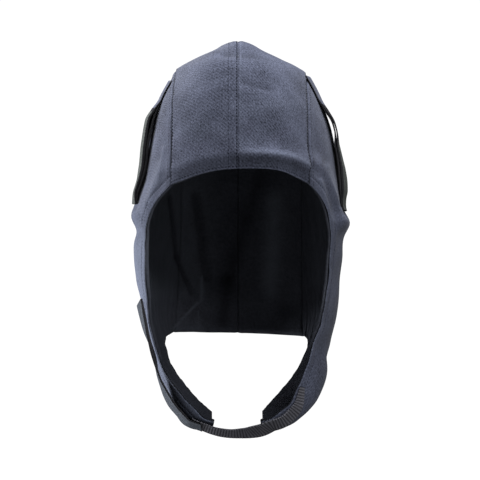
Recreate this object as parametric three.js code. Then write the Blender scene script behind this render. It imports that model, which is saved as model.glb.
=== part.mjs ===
// Winter liner cap worn under a safety helmet, in its worn shape: a twill shell of two crown panels and two
// side panels that run down into cheek flaps, a fleece lining cut to the same panels, a tab on each side that
// holds the helmet's harness, and a chin strap whose hook tab fastens on the left flap.
// Millimetres, +Z up. The face opening looks towards -Y, and left and right are as seen from the front.
// The origin is the head seat, where the top of a head bears under the crown.
import * as THREE from "three";

// Driving dimensions
const CROWN_TOP = 12; // outer top of the crown above the head seat
const SHELL = 1.2; // twill
const LINING = 2.5; // fleece
const PLY_GAP = 0.3; // between shell and lining
const SEAM_GAP = 0.5; // between neighbouring panels
const FOREHEAD = { middle: 109, seam: 121 }; // forehead edge below the crown's top
const FOREHEAD_BOW = { left: 2, right: 4 }; // power of its fall out to the seams
const NAPE_HEM = { middle: 246, tilt: 0.03 }; // hem at the back below the crown's top, lower on the right
const AXIS_LEVEL = 150; // level of the two axes that the panels' lines fan out from
const TAB_WIDTH = 22; // helmet tabs, two plies of hook-and-loop below their sewn ends
const STRAP_WIDTH = 25; // chin strap, tapered where it is sewn to the right flap

// Panel lines
const CROWN_LINES = { across: 6, along: 24 };
const SIDE_LINES = { across: 24, along: 20 };
const STRAP_LINES = 18;

const SIGN = { left: -1, right: 1 };

function table(columns, rows) {
  const names = columns.split(" ");
  return rows.map((row) => Object.fromEntries(names.map((name, i) => [name, row[i]])));
}

// Level sections of the worn form. h: level below the crown's top. left, right: half widths. front, back: the
// section's ends along y. wide: the y where it is widest. round: its exponent, 2 for an ellipse.
const FORM = table("h left right front back wide round", [
  [0.8, 0, 0, 8, 8, 8, 2],
  [2.5, 10.5, 10, -24, 46, 8, 2],
  [8, 20, 21, -47, 67, 8, 2],
  [17.5, 40, 40, -69, 84, 8, 2],
  [25, 52, 54, -77, 91, 8, 2.1],
  [31.5, 55.5, 59.5, -82, 95, 8, 2.1],
  [51.5, 65.5, 69.5, -90, 103, 8, 2.2],
  [76, 72, 78.3, -96, 109, 8, 2.2],
  [115, 79, 85.2, -100, 112, 8, 2.2],
  [135, 85, 87, -99, 112, 8, 2.2],
  [175, 86.7, 87, -96, 107, 6, 2.2],
  [197, 84.5, 84.5, -95, 101, 5, 2.2],
  [212, 81, 83.5, -95, 95.5, 3, 2.2],
  [231, 77.5, 81, -90, 87, 0, 2.2],
  [246, 73, 77.5, -87, 77, -5, 2.2],
  [258, 69.5, 76, -84, 65, -11, 2.2],
  [270, 66.5, 74, -82, 50, -18, 2.2],
  [281, 61.3, 71, -81, 33, -27, 2.2],
  [294, 53.5, 64.8, -80, 8, -40, 2.2],
  [302, 47.5, 57.8, -78, -10, -48, 2.2],
  [308, 41, 50.5, -76, -24, -53, 2.2],
  [313, 31.5, 43, -71, -34, -55, 2.1],
  [318, 17.5, 28, -64, -42, -54, 2],
  [321, 0, 0, -52, -52, -52, 2],
]);

// The crown seams: x from the middle plane at each share of the way from forehead to nape.
const SEAM = table("share left right", [
  [0, 53.5, 56],
  [0.25, 52, 56],
  [0.45, 50, 58],
  [0.7, 51, 57],
  [1, 56, 57.5],
]);

// Edges of the side panels as the front view shows them: x from the middle plane at each level.
const FACE_EDGE = table("h left right", [
  [121, 53.5, 56],
  [129, 61.5, 63.5],
  [137, 67.5, 68.5],
  [147, 71.5, 71.5],
  [170, 75.5, 74],
  [194, 75.5, 73.3],
  [212, 74, 70.5],
  [231, 73.3, 67.3],
  [246, 70.3, 62],
  [259, 66, 57.8],
  [270, 61, 53.5],
  [279, 54.5, 50.5],
  [288, 46.5, 45.5],
  [297, 36, 39.5],
  [303, 29.5, 32],
  [310, 19, 18],
]);
const REAR_EDGE = table("h left right", [
  [245.5, 56, 57.5],
  [250, 63.5, 61.5],
  [255, 64, 61.5],
  [260, 62.5, 59.5],
  [268, 60, 55.5],
  [277, 54.5, 50],
  [285.6, 47, 43],
  [294.6, 38.5, 34],
  [303.6, 28, 24.5],
  [308, 21.5, 20],
]);

// Folds and dents, each along a line seen from one side: u is x from the front and y from a side.
// rise: height over the form, below 0 for a dent. reach: distance at which it has mostly faded.
const FOLDS = table("view u1 h1 u2 h2 reach rise", [
  ["front", -14, 13.5, 34, 12, 6, -2.6],
  ["front", 8, 37, 32, 42, 7, -1],
  ["front", 6, 97, 54, 103, 7, 2],
  ["right", -66, 106, -34, 148, 7, 2.2],
  ["right", -74, 118, -48, 168, 7, 1.8],
  ["right", -40, 151, 22, 151, 9, 6],
  ["right", -50, 252, -10, 262, 10, -2.5],
  ["left", -64, 112, -48, 152, 7, 1.6],
  ["left", -38, 145, 14, 145, 8, 3],
  ["left", -38, 157, 18, 158, 7, -2.4],
]);
const VIEWS = {
  front: { towards: new THREE.Vector3(0, -1, 0), across: "x" },
  left: { towards: new THREE.Vector3(-1, 0, 0), across: "y" },
  right: { towards: new THREE.Vector3(1, 0, 0), across: "y" },
};

// Straps run over the form. turn: angle from the crown down the right side, 90 at the side and 180 under the chin.
// A left strap's turn goes down the left side instead. y, width: the strap's middle line and width.
// lift: clearance under its rear edge. twist: degrees by which its front edge stands out further.
const RUN = "turn y width lift thick twist";
const TAB_RUNS = {
  left: table(RUN, [
    [25.5, -21, TAB_WIDTH, 0.35, 0.8, 0],
    [32, -21, TAB_WIDTH, 0.4, 0.8, 0],
    [36, -21, TAB_WIDTH, 1, 3.4, 0],
    [40, -21, TAB_WIDTH, 1.6, 5.6, 0],
    [48, -21, TAB_WIDTH, 1.6, 5, 0],
    [59.5, -21, TAB_WIDTH, 0.6, 4.8, 0],
    [67, -21, TAB_WIDTH, 0.6, 4.2, 2.5],
    [73, -21, TAB_WIDTH, 0.6, 3.8, 3],
    [80.5, -21, TAB_WIDTH, 0.5, 1.6, 0],
  ]),
  right: table(RUN, [
    [25.5, -22, TAB_WIDTH, 0.35, 0.8, 0],
    [33, -24, TAB_WIDTH, 0.4, 0.8, 0],
    [38, -25, TAB_WIDTH, 0.9, 2, 3],
    [43, -25, TAB_WIDTH, 1.9, 2.7, 6.5],
    [46, -25, TAB_WIDTH, 1.9, 2.6, 7],
    [52, -25, TAB_WIDTH, 0.6, 3.2, 4.5],
    [58, -25, TAB_WIDTH, 0.6, 3.9, 3.5],
    [63, -25, TAB_WIDTH, 0.8, 4.5, 2],
    [68, -25, TAB_WIDTH, 1.2, 4.4, 0],
    [73, -25, TAB_WIDTH, 1, 4, 0],
    [78, -25, TAB_WIDTH, 0.9, 2.2, 1],
    [84.5, -25, TAB_WIDTH, 0.9, 1.4, 0],
  ]),
};
const WEBBING_RUN = table(RUN, [
  [159, -67.2, 5, 0.6, 1.5, 0],
  [161.3, -68.4, 8, 0.6, 1.5, 0],
  [163.4, -68.9, 10, 0.6, 1.5, 0],
  [166, -69.7, 11, 0.6, 1.5, 0],
  [170, -69.5, 14, 0.5, 1.5, 0],
  [174, -66, 20, 0.4, 1.5, 0],
  [178, -63.4, STRAP_WIDTH, 0.4, 1.5, 0],
  [182, -63, STRAP_WIDTH, 0.4, 1.5, 2],
  [186, -63, STRAP_WIDTH, 0.4, 1.3, 3.5],
  [190, -63, STRAP_WIDTH, 0.4, 1.1, 2],
  [192.8, -62, STRAP_WIDTH, 0.35, 1, 1.5],
]);
const HOOK_RUN = table(RUN, [
  [189.8, -63, STRAP_WIDTH, 1.8, 1.2, 3],
  [191.5, -62.5, STRAP_WIDTH, 1.8, 1.2, 2.5],
  [193.6, -61, STRAP_WIDTH, 2, 1.3, 2.5],
  [196.2, -60, STRAP_WIDTH, -0.3, 1.6, 13],
  [199, -58.5, STRAP_WIDTH, 1.6, 1.6, 18],
  [201.6, -57, STRAP_WIDTH, 2.6, 1.6, 23],
  [204.3, -56, STRAP_WIDTH, 3, 1.6, 28],
  [207, -55, STRAP_WIDTH, 2.6, 2.2, 32.5],
  [212.5, -53, STRAP_WIDTH, 3, 2.6, 27],
  [218, -50.5, STRAP_WIDTH, 4.2, 2.5, 18],
  [226, -46.5, STRAP_WIDTH, 4.6, 2, 10],
  [228.5, -45.5, STRAP_WIDTH, 4.8, 1.8, 9],
]);

// Monotone cubic through one column of a table, so that no curve overshoots its rows.
function curve(rows, along, column) {
  const at = rows.map((row) => row[along]);
  const value = rows.map((row) => row[column]);
  const rate = at.slice(1).map((t, i) => (value[i + 1] - value[i]) / (t - at[i]));
  const slope = at.map((t, i) => {
    if (i === 0) return rate[0];
    if (i === rate.length) return rate[i - 1];
    return rate[i - 1] * rate[i] > 0 ? (2 * rate[i - 1] * rate[i]) / (rate[i - 1] + rate[i]) : 0;
  });
  return (t) => {
    let i = 0;
    while (i < rate.length - 1 && t > at[i + 1]) i++;
    const step = at[i + 1] - at[i];
    const s = Math.min(1, Math.max(0, (t - at[i]) / step));
    const rest = 1 - s;
    const ends = rest * rest * (1 + 2 * s) * value[i] + s * s * (3 - 2 * s) * value[i + 1];
    return ends + step * s * rest * (rest * slope[i] - s * slope[i + 1]);
  };
}

// The form: a point is inside where shape() is below 0
const LEVELS = ["left", "right", "front", "back", "wide", "round"];
const section = Object.fromEntries(LEVELS.map((name) => [name, curve(FORM, "h", name)]));
const [TOP, BOTTOM] = [FORM[0].h, FORM.at(-1).h];
const LEAST = 0.05; // keeps the sections at the two poles from vanishing

function levelOf(z) {
  return CROWN_TOP - z;
}

function shape(x, y, z) {
  const h = levelOf(z);
  if (h <= TOP || h >= BOTTOM) return 1;
  const half = Math.max(x < 0 ? section.left(h) : section.right(h), LEAST);
  const wide = section.wide(h);
  const depth = Math.max(y < wide ? wide - section.front(h) : section.back(h) - wide, LEAST);
  const round = section.round(h);
  return (Math.abs(x) / half) ** round + (Math.abs(y - wide) / depth) ** round - 1;
}

// The y on the form at x and h, in front (-1) or behind (1)
function depthAt(x, h, end) {
  const half = x < 0 ? section.left(h) : section.right(h);
  const wide = section.wide(h);
  const depth = end < 0 ? wide - section.front(h) : section.back(h) - wide;
  const round = section.round(h);
  return wide + end * depth * (1 - (Math.abs(x) / half) ** round) ** (1 / round);
}

const REACH = 260;
const HALVINGS = 34;

function leave(from, direction) {
  let inside = 0;
  let outside = REACH;
  const at = new THREE.Vector3();
  for (let i = 0; i < HALVINGS; i++) {
    const middle = (inside + outside) / 2;
    at.copy(from).addScaledVector(direction, middle);
    if (shape(at.x, at.y, at.z) < 0) inside = middle;
    else outside = middle;
  }
  return from.clone().addScaledVector(direction, inside);
}

const STEP = { length: 4, angle: 0.035 };

// Normal of a surface at(length, angle), outwards
function normalOf(at, length, angle) {
  const across = at(length + STEP.length, angle).sub(at(length - STEP.length, angle));
  const along = at(length, angle + STEP.angle).sub(at(length, angle - STEP.angle));
  return across.cross(along).normalize();
}

function smooth(from, to, value) {
  return THREE.MathUtils.smoothstep(value, from, to);
}

// How far the folds raise the cloth at a point of the form
function foldRise(p, normal) {
  const here = new THREE.Vector2();
  const nearest = new THREE.Vector2();
  return FOLDS.reduce((sum, fold) => {
    const view = VIEWS[fold.view];
    const facing = smooth(0, 0.35, normal.dot(view.towards));
    here.set(p[view.across], levelOf(p.z));
    const start = new THREE.Vector2(fold.u1, fold.h1);
    const run = new THREE.Vector2(fold.u2, fold.h2).sub(start);
    const share = THREE.MathUtils.clamp(here.clone().sub(start).dot(run) / run.lengthSq(), 0, 1);
    nearest.copy(start).addScaledVector(run, share);
    return sum + facing * fold.rise * Math.exp(-((here.distanceTo(nearest) / fold.reach) ** 2));
  }, 0);
}

// A point of the cloth: a point of the form, moved along its normal by the folds
function clothAt(formAt, length, angle) {
  const raised = (l, a) => {
    const point = formAt(l, a);
    const normal = normalOf(formAt, l, a);
    return point.addScaledVector(normal, foldRise(point, normal));
  };
  return { point: raised(length, angle), normal: normalOf(raised, length, angle) };
}

// Crown lines fan out in planes of constant x, side lines in planes of constant y
const AXIS_Z = CROWN_TOP - AXIS_LEVEL;

function crownForm(x, angle) {
  return leave(new THREE.Vector3(x, 0, AXIS_Z), new THREE.Vector3(0, -Math.cos(angle), Math.sin(angle)));
}

function sideForm(y, angle) {
  return leave(new THREE.Vector3(0, y, AXIS_Z), new THREE.Vector3(Math.cos(angle), 0, Math.sin(angle)));
}

// Angles of the forehead edge and the nape hem about the crown's axis, at a share of the way out to a seam
function crownEnds(side, x, out) {
  const brow = THREE.MathUtils.lerp(FOREHEAD.middle, FOREHEAD.seam, out ** FOREHEAD_BOW[side]);
  const forehead = Math.atan2(AXIS_LEVEL - brow, -depthAt(x, brow, -1));
  const hem = NAPE_HEM.middle + NAPE_HEM.tilt * x;
  const nape = Math.atan2(AXIS_LEVEL - hem, -depthAt(x, hem, 1)) + 2 * Math.PI;
  return { forehead, nape };
}

const seamX = { left: curve(SEAM, "share", "left"), right: curve(SEAM, "share", "right") };
const CLOSER = 0.6; // spacing of the crown's lines at the forehead as a share of their mean

// Where a crown line meets the form's rays: x and angle at a share of the way out to the seam and along to the nape
function crownLine(side, out, along) {
  const share = along * (CLOSER + (1 - CLOSER) * along);
  const reach = out * seamX[side](share);
  const x = SIGN[side] * reach;
  const ends = crownEnds(side, x, out);
  return { x, angle: THREE.MathUtils.lerp(ends.forehead, ends.nape, share) };
}

// The point at a share of the length of a path of points
function evenly(points) {
  const run = [0];
  points.slice(1).forEach((p, i) => run.push(run[i] + p.distanceTo(points[i])));
  return (share) => {
    const wanted = share * run.at(-1);
    let i = 1;
    while (i < run.length - 1 && run[i] < wanted) i++;
    return points[i - 1].clone().lerp(points[i], (wanted - run[i - 1]) / (run[i] - run[i - 1]));
  };
}

// A point as its y and its fan angle as a length, the plane in which a side panel's lines are drawn
const FAN_RADIUS = 90;
const EDGE_POINTS = 120;

function fanned(p) {
  return new THREE.Vector2(p.y, FAN_RADIUS * Math.atan2(p.z - AXIS_Z, Math.abs(p.x)));
}

function edge(rows, side, end) {
  const x = curve(rows, "h", side);
  const pointAt = (h) => {
    const at = SIGN[side] * x(h);
    return new THREE.Vector3(at, depthAt(at, h, end), CROWN_TOP - h);
  };
  const levels = Array.from({ length: EDGE_POINTS + 1 }, (_, i) => i / EDGE_POINTS);
  const even = evenly(levels.map((share) => pointAt(THREE.MathUtils.lerp(rows[0].h, rows.at(-1).h, share))));
  return (share) => fanned(even(share));
}

function grid(lines, cellAt) {
  const rows = Array.from({ length: lines.along + 1 }, (_, j) => j / lines.along);
  const columns = Array.from({ length: lines.across + 1 }, (_, i) => i / lines.across);
  return rows.map((v) => columns.map((u) => cellAt(u, v)));
}

// Moves a patch's inner points until its lines spread evenly and none cross, whatever its edges' shape
const RELAX_PASSES = 200;

function relax(cells) {
  for (let pass = 0; pass < RELAX_PASSES; pass++) {
    for (let j = 1; j < cells.length - 1; j++) {
      for (let i = 1; i < cells[0].length - 1; i++) {
        const [east, west] = [cells[j][i + 1], cells[j][i - 1]];
        const [north, south] = [cells[j + 1][i], cells[j - 1][i]];
        const across = east.clone().sub(west);
        const along = north.clone().sub(south);
        const twist = cells[j + 1][i + 1].clone().add(cells[j - 1][i - 1]);
        twist.sub(cells[j + 1][i - 1]).sub(cells[j - 1][i + 1]);
        const [a, c] = [along.lengthSq(), across.lengthSq()];
        const sum = east.clone().add(west).multiplyScalar(a);
        sum.add(north.clone().add(south).multiplyScalar(c)).addScaledVector(twist, -across.dot(along) / 2);
        cells[j][i].copy(sum.divideScalar(2 * (a + c)));
      }
    }
  }
}

// A side panel's lines: a patch between the crown seam, the face edge, the rear edge and the flap's tip
function sideLines(side) {
  const start = crownLine(side, 1, 0);
  const gap = 1 + SEAM_GAP / 2 / Math.abs(start.x);
  const seam = (share) => {
    const at = crownLine(side, gap, share);
    return fanned(crownForm(at.x, at.angle));
  };
  const face = edge(FACE_EDGE, side, -1);
  const rear = edge(REAR_EDGE, side, 1);
  const corner = { front: seam(0), back: seam(1) };
  const tip = (share) => face(1).lerp(rear(1), share);
  // The edges start where the seam ends, half a gap beside the tables' first rows
  const faceFrom = (v) => face(v).addScaledVector(corner.front.clone().sub(face(0)), 1 - v);
  const rearFrom = (v) => rear(v).addScaledVector(corner.back.clone().sub(rear(0)), 1 - v);
  const patch = grid(SIDE_LINES, (u, v) => {
    const along = seam(u).lerp(tip(u), v);
    const across = faceFrom(v).lerp(rearFrom(v), u);
    const corners = corner.front.clone().lerp(corner.back, u).lerp(tip(u), v);
    return along.add(across).sub(corners);
  });
  relax(patch);
  // The points are spaced evenly down each line, less so towards the rear edge with its sharp turn
  const columns = patch[0].map((_, i) => evenly(patch.map((row) => row[i])));
  return patch.map((row, j) =>
    row.map((p, i) => columns[i](j / SIDE_LINES.along).lerp(p, (i / SIDE_LINES.across) ** 3)),
  );
}

function crownGrid(side) {
  return grid(CROWN_LINES, (u, v) => {
    const reach = Math.abs(crownLine(side, 1, v).x);
    const out = THREE.MathUtils.lerp(SEAM_GAP / 2 / reach, 1 - SEAM_GAP / 2 / reach, u);
    const at = crownLine(side, out, v);
    return clothAt(crownForm, at.x, at.angle);
  });
}

function sideGrid(side) {
  return sideLines(side).map((row) =>
    row.map((at) => {
      const angle = at.y / FAN_RADIUS;
      return clothAt(sideForm, at.x, side === "left" ? Math.PI - angle : angle);
    }),
  );
}

// A closed wall over a grid of points with normals, between two depths below the grid
function wall(cells, top, bottom) {
  const rows = cells.length;
  const columns = cells[0].length;
  const layer = rows * columns;
  const points = [top, bottom].flatMap((depth) =>
    cells.flat().map(({ point, normal }) => point.clone().addScaledVector(normal, -depth)),
  );
  const at = (j, i) => j * columns + i;
  const faces = [];
  const quad = (a, b, c, d) => faces.push(a, b, c, a, c, d);
  for (let j = 0; j < rows - 1; j++) {
    for (let i = 0; i < columns - 1; i++) {
      const [a, b, c, d] = [at(j, i), at(j, i + 1), at(j + 1, i + 1), at(j + 1, i)];
      quad(a, b, c, d);
      quad(layer + a, layer + d, layer + c, layer + b);
    }
  }
  const rim = [];
  for (let i = 0; i < columns - 1; i++) rim.push(at(0, i));
  for (let j = 0; j < rows - 1; j++) rim.push(at(j, columns - 1));
  for (let i = columns - 1; i > 0; i--) rim.push(at(rows - 1, i));
  for (let j = rows - 1; j > 0; j--) rim.push(at(j, 0));
  rim.forEach((a, k) => {
    const b = rim[(k + 1) % rim.length];
    quad(a, layer + a, layer + b, b);
  });
  return facingOut(points, faces);
}

function facingOut(points, faces) {
  let volume = 0;
  for (let k = 0; k < faces.length; k += 3) {
    const [a, b, c] = [points[faces[k]], points[faces[k + 1]], points[faces[k + 2]]];
    volume += a.dot(b.clone().cross(c));
  }
  const geometry = new THREE.BufferGeometry().setFromPoints(points);
  geometry.setIndex(volume < 0 ? faces.toReversed() : faces);
  geometry.computeVertexNormals();
  return geometry;
}

function fanAt(turn, side) {
  return THREE.MathUtils.degToRad(90 - SIGN[side] * turn);
}

// A flat band along a run, square to the form unless a twist turns it about its rear edge
function band(run, side) {
  const [y, width, lift, thick, twist] = RUN.split(" ").slice(1).map((column) => curve(run, "turn", column));
  const stations = Array.from({ length: STRAP_LINES + 1 }, (_, k) => {
    const turn = THREE.MathUtils.lerp(run[0].turn, run.at(-1).turn, k / STRAP_LINES);
    const { point, normal } = clothAt(sideForm, y(turn), fanAt(turn, side));
    const lean = THREE.MathUtils.degToRad(twist(turn));
    point.addScaledVector(normal, lift(turn) + thick(turn) / 2 + (width(turn) / 2) * Math.sin(lean));
    return { point, normal, lean, across: width(turn), thickness: thick(turn) };
  });
  const cells = stations.map(({ point, normal, lean, across, thickness }, k) => {
    const ahead = stations[Math.min(k + 1, STRAP_LINES)].point.clone();
    const along = ahead.sub(stations[Math.max(k - 1, 0)].point);
    const forward = along.clone().cross(normal).setLength(SIGN[side] * Math.cos(lean));
    forward.addScaledVector(normal, Math.sin(lean));
    const through = forward.clone().cross(along).setLength(thickness);
    return [-0.5, 0.5].map((share) => ({
      point: point.clone().addScaledVector(forward, share * across),
      normal: through,
    }));
  });
  return wall(cells, -0.5, 0.5);
}

// Materials
const twill = new THREE.MeshStandardMaterial({ color: 0x454b5c, roughness: 0.85, metalness: 0 });
const fleece = new THREE.MeshStandardMaterial({ color: 0x16171b, roughness: 0.95, metalness: 0 });
const webbing = new THREE.MeshStandardMaterial({ color: 0x2c2c2d, roughness: 0.7, metalness: 0 });
const hookTape = new THREE.MeshStandardMaterial({ color: 0x35373c, roughness: 0.8, metalness: 0 });

const cap = new THREE.Group();

function add(name, geometry, material) {
  const mesh = new THREE.Mesh(geometry, material);
  mesh.name = name;
  cap.add(mesh);
}

const LINING_TOP = SHELL + PLY_GAP;
for (const side of ["left", "right"]) {
  const crown = crownGrid(side);
  const cheek = sideGrid(side);
  add(`crown_${side}`, wall(crown, 0, SHELL), twill);
  add(`side_${side}`, wall(cheek, 0, SHELL), twill);
  add(`lining_crown_${side}`, wall(crown, LINING_TOP, LINING_TOP + LINING), fleece);
  add(`lining_side_${side}`, wall(cheek, LINING_TOP, LINING_TOP + LINING), fleece);
  add(`helmet_tab_${side}`, band(TAB_RUNS[side], side), hookTape);
}
add("chin_webbing", band(WEBBING_RUN, "right"), webbing);
add("chin_hook_tab", band(HOOK_RUN, "right"), hookTape);

export default cap;
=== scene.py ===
import math

import bpy
import numpy as np
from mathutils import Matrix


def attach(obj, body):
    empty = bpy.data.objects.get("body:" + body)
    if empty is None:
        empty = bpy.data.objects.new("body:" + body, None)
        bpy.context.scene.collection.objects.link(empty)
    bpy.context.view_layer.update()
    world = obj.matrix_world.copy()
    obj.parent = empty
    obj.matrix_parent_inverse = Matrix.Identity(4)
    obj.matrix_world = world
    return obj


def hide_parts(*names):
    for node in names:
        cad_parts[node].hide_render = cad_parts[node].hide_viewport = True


# Winter liner cap in its worn shape. The cap's sizes are in millimetres, as in the part's source.
# Meshes, the floor, lights and the camera's place are in metres.
# Left and right are as seen from the front, and the face opening looks towards -Y.
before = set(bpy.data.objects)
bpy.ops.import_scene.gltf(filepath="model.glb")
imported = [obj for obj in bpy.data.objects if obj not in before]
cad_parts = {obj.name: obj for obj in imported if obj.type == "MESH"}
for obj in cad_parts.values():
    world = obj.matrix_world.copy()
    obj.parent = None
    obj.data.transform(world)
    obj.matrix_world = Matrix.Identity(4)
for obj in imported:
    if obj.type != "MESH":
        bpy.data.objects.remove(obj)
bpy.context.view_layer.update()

MM = 0.001
SIGN = {"left": -1, "right": 1}
SEED = 41

# Sizes shared with the solid model
CROWN_TOP = 12  # outer top of the crown above the head seat
SHELL = 1.2  # twill
LINING = 2.5  # fleece
PLY_GAP = 0.3  # between shell and lining
FOREHEAD_MIDDLE, FOREHEAD_SEAM = 109, 121  # forehead edge below the crown's top
FOREHEAD_BOW = {"left": 2, "right": 4}  # power of its fall out to the seams
HEM_MIDDLE, HEM_TILT = 246, 0.03  # nape hem below the crown's top, lower on the right
AXIS_LEVEL = 150  # level of the two axes that the panels' lines fan out from
AXIS_Z = CROWN_TOP - AXIS_LEVEL
CLOSER = 0.6  # spacing of the crown's cross lines at the forehead, as a share of even spacing
FAN_RADIUS = 90  # turns a side panel's ray angles into lengths

# The scene's own sizes
SEAM_GAP = -0.1  # below 0, so that the panels just meet at their seams
EDGE_POINTS = 121  # points that an edge of a side panel is read at
SEAM_BLEND = 0.25  # share of a side panel over which its lines are drawn to the exact seam
RIB_PITCH, RIB_SWING = 2.25, 0.18  # pitch of the webbing's ribs, and half their depth

# Mesh lines across and along each panel, and along each strap
COARSE = {"across": 24, "along": 20}  # net of a side panel before it is refined
SHELL_LINES = {"crown": (72, 340), "side": (170, 180)}
LINING_LINES = {"crown": (40, 220), "side": (120, 130)}
STRAP_STATIONS = {"tab": 120, "webbing": 420, "hook": 200}

# Cut sizes of the panels before they were sewn
CUT = {"crown": (70, 505), "side": (215, 310)}


def table(columns, rows):
    return dict(zip(columns.split(), np.array(rows, float).T))


# Level sections of the worn form. h: level below the crown's top. left, right: half widths.
# front, back: the section's ends along y. wide: the y where it is widest.
# round: its exponent, 2 for an ellipse.
FORM = table("h left right front back wide round", [
    [0.8, 0, 0, 8, 8, 8, 2],
    [2.5, 10.5, 10, -24, 46, 8, 2],
    [8, 20, 21, -47, 67, 8, 2],
    [17.5, 40, 40, -69, 84, 8, 2],
    [25, 52, 54, -77, 91, 8, 2.1],
    [31.5, 55.5, 59.5, -82, 95, 8, 2.1],
    [51.5, 65.5, 69.5, -90, 103, 8, 2.2],
    [76, 72, 78.3, -96, 109, 8, 2.2],
    [115, 79, 85.2, -100, 112, 8, 2.2],
    [135, 85, 87, -99, 112, 8, 2.2],
    [175, 86.7, 87, -96, 107, 6, 2.2],
    [197, 84.5, 84.5, -95, 101, 5, 2.2],
    [212, 81, 83.5, -95, 95.5, 3, 2.2],
    [231, 77.5, 81, -90, 87, 0, 2.2],
    [246, 73, 77.5, -87, 77, -5, 2.2],
    [258, 69.5, 76, -84, 65, -11, 2.2],
    [270, 66.5, 74, -82, 50, -18, 2.2],
    [281, 61.3, 71, -81, 33, -27, 2.2],
    [294, 53.5, 64.8, -80, 8, -40, 2.2],
    [302, 47.5, 57.8, -78, -10, -48, 2.2],
    [308, 41, 50.5, -76, -24, -53, 2.2],
    [313, 31.5, 43, -71, -34, -55, 2.1],
    [318, 17.5, 28, -64, -42, -54, 2],
    [321, 0, 0, -52, -52, -52, 2],
])
# x of the seams between crown and sides, at shares of the way from the forehead to the nape
SEAM = table("share left right", [
    [0, 53.5, 56],
    [0.25, 52, 56],
    [0.45, 50, 58],
    [0.7, 51, 57],
    [1, 56, 57.5],
])
# x of the side panels' edges at each level, round the face and behind the ears
FACE_EDGE = table("h left right", [
    [121, 53.5, 56],
    [129, 61.5, 63.5],
    [137, 67.5, 68.5],
    [147, 71.5, 71.5],
    [170, 75.5, 74],
    [194, 75.5, 73.3],
    [212, 74, 70.5],
    [231, 73.3, 67.3],
    [246, 70.3, 62],
    [259, 66, 57.8],
    [270, 61, 53.5],
    [279, 54.5, 50.5],
    [288, 46.5, 45.5],
    [297, 36, 39.5],
    [303, 29.5, 32],
    [310, 19, 18],
])
REAR_EDGE = table("h left right", [
    [245.5, 56, 57.5],
    [250, 63.5, 61.5],
    [255, 64, 61.5],
    [260, 62.5, 59.5],
    [268, 60, 55.5],
    [277, 54.5, 50],
    [285.6, 47, 43],
    [294.6, 38.5, 34],
    [303.6, 28, 24.5],
    [308, 21.5, 20],
])
# Straps over the form. turn: degrees from the crown down one side.
# y, width, thick: the strap's middle line, width and thickness.
# lift: clearance under its rear edge. twist: degrees by which its front edge stands out further.
TAB, STRAP = 22, 25  # widths of a helmet tab and of the chin strap
RUN_COLUMNS = "turn y width lift thick twist"
TAB_RUNS = {
    "left": table(RUN_COLUMNS, [
        [25.5, -21, TAB, 0.35, 0.8, 0],
        [32, -21, TAB, 0.4, 0.8, 0],
        [36, -21, TAB, 1, 3.4, 0],
        [40, -21, TAB, 1.6, 5.6, 0],
        [48, -21, TAB, 1.6, 5, 0],
        [59.5, -21, TAB, 0.6, 4.8, 0],
        [67, -21, TAB, 0.6, 4.2, 2.5],
        [73, -21, TAB, 0.6, 3.8, 3],
        [80.5, -21, TAB, 0.5, 1.6, 0],
    ]),
    "right": table(RUN_COLUMNS, [
        [25.5, -22, TAB, 0.35, 0.8, 0],
        [33, -24, TAB, 0.4, 0.8, 0],
        [38, -25, TAB, 0.9, 2, 3],
        [43, -25, TAB, 1.9, 2.7, 6.5],
        [46, -25, TAB, 1.9, 2.6, 7],
        [52, -25, TAB, 0.6, 3.2, 4.5],
        [58, -25, TAB, 0.6, 3.9, 3.5],
        [63, -25, TAB, 0.8, 4.5, 2],
        [68, -25, TAB, 1.2, 4.4, 0],
        [73, -25, TAB, 1, 4, 0],
        [78, -25, TAB, 0.9, 2.2, 1],
        [84.5, -25, TAB, 0.9, 1.4, 0],
    ]),
}
WEBBING_RUN = table(RUN_COLUMNS, [
    [159, -67.2, 5, 0.6, 1.5, 0],
    [161.3, -68.4, 8, 0.6, 1.5, 0],
    [163.4, -68.9, 10, 0.6, 1.5, 0],
    [166, -69.7, 11, 0.6, 1.5, 0],
    [170, -69.5, 14, 0.5, 1.5, 0],
    [174, -66, 20, 0.4, 1.5, 0],
    [178, -63.4, STRAP, 0.4, 1.5, 0],
    [182, -63, STRAP, 0.4, 1.5, 2],
    [186, -63, STRAP, 0.4, 1.3, 3.5],
    [190, -63, STRAP, 0.4, 1.1, 2],
    [192.8, -62, STRAP, 0.35, 1, 1.5],
])
HOOK_RUN = table(RUN_COLUMNS, [
    [189.8, -63, STRAP, 1.8, 1.2, 3],
    [191.5, -62.5, STRAP, 1.8, 1.2, 2.5],
    [193.6, -61, STRAP, 2, 1.3, 2.5],
    [196.2, -60, STRAP, -0.3, 1.6, 13],
    [199, -58.5, STRAP, 1.6, 1.6, 18],
    [201.6, -57, STRAP, 2.6, 1.6, 23],
    [204.3, -56, STRAP, 3, 1.6, 28],
    [207, -55, STRAP, 2.6, 2.2, 32.5],
    [212.5, -53, STRAP, 3, 2.6, 27],
    [218, -50.5, STRAP, 4.2, 2.5, 18],
    [226, -46.5, STRAP, 4.6, 2, 10],
    [228.5, -45.5, STRAP, 4.8, 1.8, 9],
])

# Folds along a line seen from one side, where u is x from the front and y from a side
FOLD_COLUMNS = "u1 h1 u2 h2 reach rise"
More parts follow.
